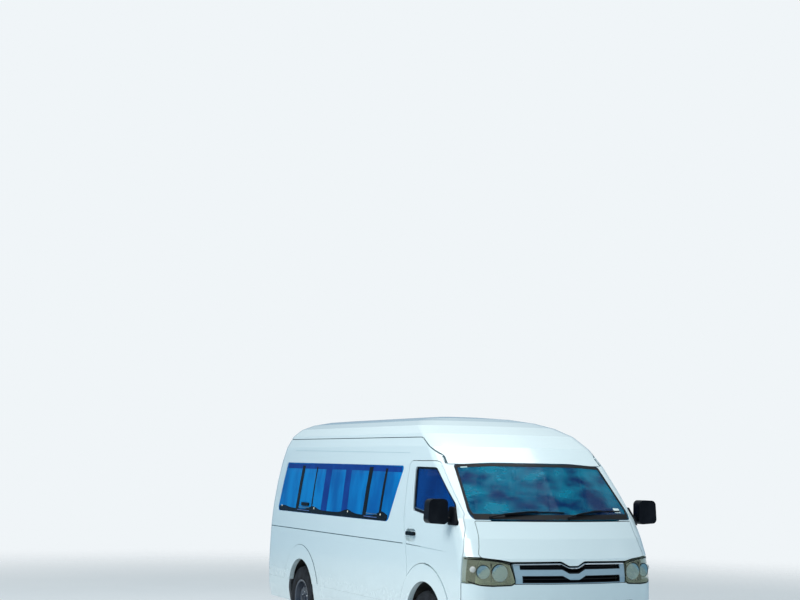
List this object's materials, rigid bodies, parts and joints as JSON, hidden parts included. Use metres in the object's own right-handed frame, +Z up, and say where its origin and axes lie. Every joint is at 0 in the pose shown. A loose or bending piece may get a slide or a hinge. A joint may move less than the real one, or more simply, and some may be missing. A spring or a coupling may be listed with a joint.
{
  "type": "passenger van with a high roof",
  "caption": "White long-wheelbase passenger van with a high roof, tinted side windows, hinged front doors, tailgate and hood, steered front wheels and a fitted cabin.",
  "frame": {"origin": "on the ground below the middle of the overall box", "axes": "+X forwards, +Y to the vehicle's left, +Z up"},
  "size_m": [5.3774, 2.2946, 2.265],
  "materials": {
    "paint": "gloss",
    "tinted_glass": "gloss",
    "clear_lens": "gloss",
    "lamp_bowl": "gloss",
    "red_lens": "gloss",
    "black_plastic": "satin",
    "seat_cloth": "matte",
    "tyre_rubber": "matte",
    "wheel_steel": "satin",
    "black_steel": "satin",
    "exhaust_steel": "satin",
    "cast_block": "matte",
    "seal_rubber": "matte"
  },
  "bodies": {
    "body": {"bumper_beam": "black_steel", "chassis_frame": "black_steel", "dashboard": "black_plastic", "door_stops": "seal_rubber", "engine_block": "cast_block", "engine_cover": "black_steel", "exhaust": "exhaust_steel", "floor_pan": "black_steel", "front_bumper": "paint", "front_fenders": "paint", "front_seats": "seat_cloth", "front_suspension": "black_steel", "front_wall": "black_steel", "fuel_tank": "black_steel", "grille": "black_plastic", "headlamp_cases": "lamp_bowl", "headlamp_lenses": "clear_lens", "intake_bars": "black_plastic", "propeller_shaft": "black_steel", "rear_axle": "black_steel", "rear_bumper": "paint", "rear_seats": "seat_cloth", "rear_springs": "black_steel", "roof_panel": "paint", "seat_legs": "black_steel", "side_glass": "tinted_glass", "side_panel_left": "paint", "side_panel_right": "paint", "sills": "paint", "sliding_door": "paint", "sliding_door_handle": "black_plastic", "spare_wheel": "tyre_rubber", "steering_column": "black_plastic", "tail_lamps": "red_lens", "tow_eyes": "black_steel", "wheel_wells": "black_steel", "windscreen": "tinted_glass"},
    "front_door_right": {"front_door_right": "paint", "front_door_glass_right": "tinted_glass", "mirror_right": "black_plastic", "door_handle_right": "black_plastic"},
    "front_door_left": {"front_door_left": "paint", "front_door_glass_left": "tinted_glass", "mirror_left": "black_plastic", "door_handle_left": "black_plastic"},
    "tailgate": {"tailgate": "paint", "tailgate_glass": "tinted_glass"},
    "hood": {"hood": "paint"},
    "steering_wheel": {"steering_wheel": "black_plastic"},
    "knuckle_right": {"knuckle_right": "black_steel"},
    "knuckle_left": {"knuckle_left": "black_steel"},
    "wheel_front_right": {"tyre_front_right": "tyre_rubber", "rim_front_right": "wheel_steel"},
    "wheel_front_left": {"tyre_front_left": "tyre_rubber", "rim_front_left": "wheel_steel"},
    "wheel_rear_right": {"tyre_rear_right": "tyre_rubber", "rim_rear_right": "wheel_steel"},
    "wheel_rear_left": {"tyre_rear_left": "tyre_rubber", "rim_rear_left": "wheel_steel"}
  },
  "joints": [
    {"name": "steer_left", "type": "hinge", "parent": "body", "child": "knuckle_left", "pos_m": [1.65, 0.742, 0.347], "axis": [0, 0, 1], "range_deg": [-34, 34]},
    {"name": "steer_right", "type": "hinge", "parent": "body", "child": "knuckle_right", "pos_m": [1.65, -0.742, 0.347], "axis": [0, 0, 1], "range_deg": [-34, 34]},
    {"name": "steering_wheel", "type": "hinge", "parent": "body", "child": "steering_wheel", "pos_m": [1.905, -0.395, 1.18], "axis": [-0.6157, 0, 0.788], "range_deg": [-530, 530]},
    {"name": "spin_front_left", "type": "hinge", "parent": "knuckle_left", "child": "wheel_front_left", "pos_m": [1.65, 0.822, 0.347], "axis": [0, 1, 0], "continuous": true},
    {"name": "spin_front_right", "type": "hinge", "parent": "knuckle_right", "child": "wheel_front_right", "pos_m": [1.65, -0.822, 0.347], "axis": [0, 1, 0], "continuous": true},
    {"name": "spin_rear_left", "type": "hinge", "parent": "body", "child": "wheel_rear_left", "pos_m": [-1.46, 0.822, 0.347], "axis": [0, 1, 0], "continuous": true},
    {"name": "spin_rear_right", "type": "hinge", "parent": "body", "child": "wheel_rear_right", "pos_m": [-1.46, -0.822, 0.347], "axis": [0, 1, 0], "continuous": true},
    {"name": "door_right_hinge", "type": "hinge", "parent": "body", "child": "front_door_right", "pos_m": [2.348, -0.92, 1], "axis": [0, 0, 1], "range_deg": [0, 68]},
    {"name": "door_left_hinge", "type": "hinge", "parent": "body", "child": "front_door_left", "pos_m": [2.348, 0.92, 1], "axis": [0, 0, -1], "range_deg": [0, 68]},
    {"name": "tailgate_hinge", "type": "hinge", "parent": "body", "child": "tailgate", "pos_m": [-2.472, 0, 1.953], "axis": [0, 1, 0], "range_deg": [0, 85]},
    {"name": "hood_hinge", "type": "hinge", "parent": "body", "child": "hood", "pos_m": [2.33, 0, 1.34], "axis": [0, -1, 0], "range_deg": [0, 50]}
  ],
  "couplings": [
    {"joint": "steer_right", "follows": "steer_left", "ratio": 1},
    {"joint": "steering_wheel", "follows": "steer_left", "ratio": 15.4}
  ]
}
